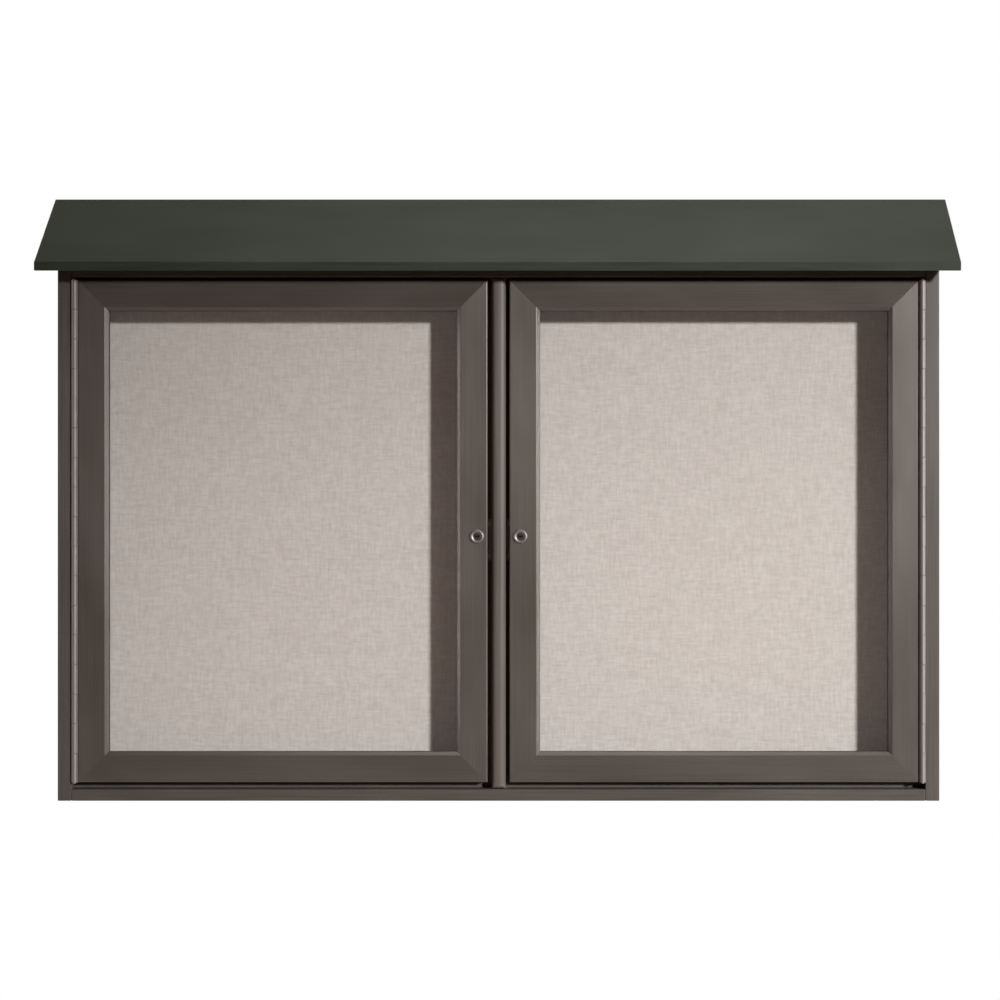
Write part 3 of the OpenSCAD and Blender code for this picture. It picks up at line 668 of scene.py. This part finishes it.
bronze_upright = anodised("bronze_anodised_upright", "Z")
bronze_level = anodised("bronze_anodised_level", "X")
mill_aluminium = plain_material("mill_aluminium", MILL_GREY, roughness=0.4, grit_mm=0.8, strength=0.2)
lock_centres = {}
for side in SIDES:
    low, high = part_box(side + "_lock_barrel")
    lock_centres[side] = Vector(((low.x + high.x) / 2, DOOR_FRONT, (low.z + high.z) / 2))
    door_seats = screw_cutters(side + "_hinge_door_screws")
    barrel_hole = turned("barrel_hole", lock_centres[side] - DEEPER * PAST, DEEPER, [
        (0, 0), (BARREL_HOLE, 0), (BARREL_HOLE, LOCK_LENGTH), (0, LOCK_LENGTH)])
    for part, corner, along, inward, length in members(side):
        node = side + "_door_" + part
        member = bar(node + "_extrusion", FRAME_SECTION, FRAME_ROUNDS, corner, along, inward, length)
        ends = [corner + DEEPER * depth / 1000 + inward * width / 1000 + along * reach
                for (depth, width), reach in ((TUBE_FROM, -PAST), (TUBE_TO, length + PAST))]
        tube = block("tube", Vector([min(c) for c in zip(*ends)]), Vector([max(c) for c in zip(*ends)]))
        cut(member, tube)
        bpy.data.objects.remove(tube)
        mitre(member, corner, along, inward, length)
        if part == "hinge_stile":
            cut(member, door_seats)
        if part == "lock_stile":
            cut(member, barrel_hole)
        bronze = bronze_upright if along == UP else bronze_level
        mount(member, side + "_door", "bronze_aluminium", bronze, node)
    bpy.data.batch_remove([door_seats, barrel_hole])
    dress(mill_aluminium, side + "_corner_keys")


# Windows. Clear acrylic sheets held in the frame by black rubber, whose lips end level with the sloped
# edge and hardly show. A second rubber seal lies against the door stops. The rubber is a dull black,
# and the polished sheets show only as a faint gloss over the fabric.
PANE_EDGE = 0.0003
CLEAR, CLEAR_TO_LAMPS = "fbfcfb", "f9faf9"
RUBBER = "232120"
GASKET_SECTION = [
    (8, 36.5), (8, 52.8), (10.5, 52.8), (10.5, 41), (13.5, 41), (13.5, 52.8), (16, 52.8), (16, 36.5)]
GASKET_ROUNDS = {(8, 52.8): 0.3, (10.5, 52.8): 0.5, (13.5, 52.8): 0.5, (16, 52.8): 1.0}
SEAL_SECTION = [(22, 1), (22, 5.5), (25, 5.5), (25, 1)]
SEAL_ROUNDS = {(25, 5.5): 2.0, (25, 1): 2.0}


def acrylic(name):
    """Clear cast acrylic, with polished faces. Lamps shine straight through it."""
    material = blank(name)
    glass = add(material, "ShaderNodeBsdfPrincipled", {
        "Base Color": linear(CLEAR), "Roughness": 0.0, "IOR": 1.49, "Transmission Weight": 1.0})
    straight = add(material, "ShaderNodeBsdfTransparent", {"Color": linear(CLEAR_TO_LAMPS)})
    ray = add(material, "ShaderNodeLightPath")
    lighting = add(material, "ShaderNodeMath", {
        0: ray.outputs["Is Shadow Ray"], 1: ray.outputs["Is Diffuse Ray"]}, operation="MAXIMUM")
    return finished(material, add(material, "ShaderNodeMixShader", {
        0: lighting.outputs[0], 1: glass.outputs[0], 2: straight.outputs[0]}))


clear_acrylic = acrylic("clear_acrylic")
black_rubber = plain_material("black_rubber", RUBBER, roughness=0.6, grit_mm=0.7, strength=0.4,
                              metallic=0.0)
for side in SIDES:
    pane = block(side + "_acrylic_pane", *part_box(side + "_window_pane"))
    ease(pane, PANE_EDGE)
    mount(pane, side + "_door", "acrylic", clear_acrylic, side + "_window_pane")
    for node, section, rounds in (("_glazing_gasket", GASKET_SECTION, GASKET_ROUNDS),
                                  ("_door_seal", SEAL_SECTION, SEAL_ROUNDS)):
        runs = []
        for _, corner, along, inward, length in members(side):
            run = bar("run", section, rounds, corner, along, inward, length)
            mitre(run, corner, along, inward, length, closed=False)
            runs.append(run)
        ring = join(runs, side + node + "_rubber")
        only(ring)
        bpy.ops.object.mode_set(mode="EDIT")
        bpy.ops.mesh.select_all(action="SELECT")
        bpy.ops.mesh.remove_doubles(threshold=SMALLEST)
        bpy.ops.mesh.normals_make_consistent(inside=False)
        bpy.ops.object.mode_set(mode="OBJECT")
        mount(ring, side + "_door", "black_rubber", black_rubber, side + node)


# Locks. A chromed round cam lock in each meeting stile: a barrel with a raised ring, and inside it
# the plug that the key turns. Behind the stile are the nut, the cam and its screw. Satin
# chrome keeps the highlights on the ring soft. The plug is given a dark tone, painted shade for its sunk
# face.
BARREL_PROFILE = [
    (0.00655, -0.0019), (0.0071, -0.0021), (0.0088, -0.0030), (0.0101, -0.0030), (0.0110, -0.0027),
    (0.0119, -0.0019), (0.0124, -0.0010), (0.0125, 0), (0.0095, 0), (0.0095, LOCK_LENGTH),
    (0.00655, LOCK_LENGTH), (0.00655, -0.0019)]
KEY_SLOT_LONG, KEY_SLOT_HIGH, KEY_SLOT_EASE = 0.008, 0.0018, 0.0008
NUT_EDGE = 0.0003
CHROME, PLUG_PAINTED_SHADE = "858180", "4a4542"
lock_chrome = plain_material("satin_chrome", CHROME, roughness=0.48, grit_mm=0.5, strength=0.05,
                             metallic=0.8)
# The plug's dark tone is painted shade for its sunk face. The plug is chrome like the barrel.
plug_with_painted_shade = plain_material("plug_painted_shade", PLUG_PAINTED_SHADE, roughness=0.5, grit_mm=0.5, strength=0.1,
                            metallic=0.8)


def at_key_slot(point, middle):
    """Tells whether a point of a plug is on the rim of its key slot, round the middle of the face."""
    away = point - middle
    return (away.y < SMALLEST and abs(away.x) < KEY_SLOT_LONG / 2 + SMALLEST
            and abs(away.z) < KEY_SLOT_HIGH)


for side in SIDES:
    centre = lock_centres[side]
    barrel = turned(side + "_lock_barrel_chrome", centre, DEEPER, BARREL_PROFILE, steps=64)
    mount(barrel, side + "_door", "lock_chrome", lock_chrome, side + "_lock_barrel")
    plug = merged_copy(side + "_lock_plug")
    plug.name = plug.data.name = side + "_lock_plug_chrome"
    face = Vector((centre.x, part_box(side + "_lock_plug")[0].y, centre.z))
    pick(plug, "EDGE", lambda point: at_key_slot(point, face))
    bpy.ops.mesh.bevel(offset=KEY_SLOT_EASE, segments=2, affect="EDGES")
    ease(plug, METAL_EDGE, 1)
    mount(plug, side + "_lock", "lock_chrome", plug_with_painted_shade, side + "_lock_plug")
    refined(side + "_lock_nut", side + "_door", "zinc_steel", zinc_steel, NUT_EDGE)
    refined(side + "_lock_cam", side + "_lock", "zinc_steel", zinc_steel, METAL_EDGE)
    refined(side + "_cam_screw", side + "_lock", "zinc_steel", zinc_steel, METAL_EDGE)


# Camera, square to the front and level with the middle of the board, as in the photograph.
FOCAL_MM, SENSOR_MM = 75, 36
VIEW_DISTANCE = 3.6
CAMERA_X, CAMERA_Z = 0.12, 0.0575
MIDDLE_PX, IMAGE_PX = 498.5, 1000
view_width = VIEW_DISTANCE * SENSOR_MM / FOCAL_MM
camera = bpy.data.objects.new("camera", bpy.data.cameras.new("camera"))
bpy.context.scene.collection.objects.link(camera)
camera.location = (CAMERA_X, DOOR_FRONT - VIEW_DISTANCE, CAMERA_Z)
camera.rotation_euler = (math.pi / 2, 0, 0)
camera.data.lens, camera.data.sensor_width = FOCAL_MM, SENSOR_MM
camera.data.shift_x = 0.5 - MIDDLE_PX / IMAGE_PX - CAMERA_X / view_width
bpy.context.scene.camera = camera


# Studio. White all round to the camera and through the windows. To the rest of the board the room is
# white behind and dim and warm in front, so that what lies in shadow behind the windows stays dark.
WHITE = (1, 1, 1, 1)
ROOM_FRONT = (0.07, 0.03, 0.015, 1)
ROOM_BACK = (0.8, 0.8, 0.8, 1)
BACK_FROM, BACK_TO = 0.2, 0.8


def sight(owner):
    """Whether a ray sees plainly, as the camera does or through a window, and whether in a gloss."""
    ray = add(owner, "ShaderNodeLightPath")
    through, mirrored = [add(owner, "ShaderNodeMath", {
        0: ray.outputs[kind], 1: ray.outputs["Diffuse Depth"]}, operation="SUBTRACT").outputs[0]
        for kind in ("Is Transmission Ray", "Is Glossy Ray")]
    plainly = add(owner, "ShaderNodeMath", {
        0: ray.outputs["Is Camera Ray"], 1: through}, operation="MAXIMUM").outputs[0]
    return plainly, mirrored


world = bpy.data.worlds.new("studio")
bpy.context.scene.world = world
world.use_nodes = True
world.node_tree.nodes.clear()
direction = add(world, "ShaderNodeTexCoord")
split = add(world, "ShaderNodeSeparateXYZ", {0: direction.outputs["Generated"]})
around = add(world, "ShaderNodeMapRange", {
    "Value": split.outputs["Y"], "From Min": BACK_FROM, "From Max": BACK_TO},
    interpolation_type="SMOOTHSTEP")
surroundings = add(world, "ShaderNodeMix", {
    0: around.outputs[0], 6: ROOM_FRONT, 7: ROOM_BACK}, data_type="RGBA")
sky_plainly, sky_mirrored = sight(world)
behind = add(world, "ShaderNodeMath", {0: sky_mirrored, 1: around.outputs[0]}, operation="MULTIPLY")
white = add(world, "ShaderNodeMath", {0: sky_plainly, 1: behind.outputs[0]}, operation="MAXIMUM")
shown = add(world, "ShaderNodeMix", {
    0: white.outputs[0], 6: surroundings.outputs[2], 7: WHITE}, data_type="RGBA")
sky = add(world, "ShaderNodeBackground", {"Color": shown.outputs[2]})
add(world, "ShaderNodeOutputWorld", {"Surface": sky.outputs[0]})


# Lamps. A far key lamp high on the right throws the shadow of each frame on the fabric. A softbox
# overhead and one at each side draw the light lines on the sloped edges, and two light the back.
KEY_DIRECTION = Vector((0.903, -1, 0.32)).normalized()
KEY_DISTANCE = 18
KEY_RADIUS = 0.79
KEY_WATTS = 17400
KEY_CONE = math.radians(13)
KEY_AIM = Vector((0.7, -0.1, -0.3))


def lamp(name, kind, watts, place, target):
    """A lamp at a place, turned to shine at a target."""
    made = bpy.data.objects.new(name, bpy.data.lights.new(name, kind))
    made.data.energy = watts
    made.location = place
    made.rotation_euler = (Vector(target) - Vector(place)).to_track_quat("-Z", "Y").to_euler()
    made.visible_camera = False
    bpy.context.scene.collection.objects.link(made)
    return made.data


key = lamp("key", "SPOT", KEY_WATTS, KEY_DIRECTION * KEY_DISTANCE, KEY_AIM)
key.shadow_soft_size, key.spot_size, key.spot_blend = KEY_RADIUS, KEY_CONE, 1
for name, watts, place, target, wide, high in (
    ("overhead", 14, (0.2, -0.7, 2.45), (0.1, -0.1, 0), 1.8, 0.7),
    ("right_side", 14, (2.7, -0.25, 0.1), (0, -0.1, 0), 0.2, 1.6),
    ("left_side", 12, (-2.6, -0.22, 0.1), (0, -0.1, 0), 0.16, 1.6),
    ("back_left", 40, (-2.6, 2.4, 2.0), (0, 0.1, 0), 1.5, 1.5),
    ("back_right", 40, (2.6, 2.8, 1.2), (0, 0.1, 0), 1.5, 1.5),
):
    softbox = lamp(name, "AREA", watts, place, target)
    softbox.shape, softbox.size, softbox.size_y = "RECTANGLE", wide, high


# Floor. A pale studio floor well below the board, which hangs on a wall that isn't part of it. It
# glows a little where it is seen plainly, lights the board with a warmer tone, and is clear from below.
FLOOR_Z = -1.41
FLOOR_BACK = 1.8
FLOOR_WIDTH, FLOOR_DEPTH = 9, 7
FLOOR_TO_BOARD, FLOOR_TO_EYE = (0.4, 0.28, 0.2, 1), (0.8, 0.8, 0.8, 1)
FLOOR_GLOW = 0.45
bpy.ops.object.select_all(action="DESELECT")
bpy.ops.mesh.primitive_plane_add(size=1, location=(0, FLOOR_BACK - FLOOR_DEPTH / 2, FLOOR_Z))
floor = bpy.context.object
floor.scale = (FLOOR_WIDTH, FLOOR_DEPTH, 1)
name_piece("studio_floor")
paint = blank("studio_floor_paint")
floor_plainly, floor_mirrored = sight(paint)
pale = add(paint, "ShaderNodeMath", {0: floor_plainly, 1: floor_mirrored}, operation="MAXIMUM")
seen = add(paint, "ShaderNodeMix", {
    0: pale.outputs[0], 6: FLOOR_TO_BOARD, 7: FLOOR_TO_EYE}, data_type="RGBA")
matt = add(paint, "ShaderNodeBsdfDiffuse", {"Color": seen.outputs[2]})
glow = add(paint, "ShaderNodeEmission", {"Strength": FLOOR_GLOW})
glowing = add(paint, "ShaderNodeAddShader", {0: matt.outputs[0], 1: glow.outputs[0]})
lit = add(paint, "ShaderNodeMixShader", {0: floor_plainly, 1: matt.outputs[0], 2: glowing.outputs[0]})
under = add(paint, "ShaderNodeBsdfTransparent")
facing = add(paint, "ShaderNodeNewGeometry")
floor.data.materials.append(finished(paint, add(paint, "ShaderNodeMixShader", {
    0: facing.outputs["Backfacing"], 1: lit.outputs[0], 2: under.outputs[0]})))
floor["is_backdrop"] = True

bpy.context.scene.view_settings.view_transform = "Standard"
low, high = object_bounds()
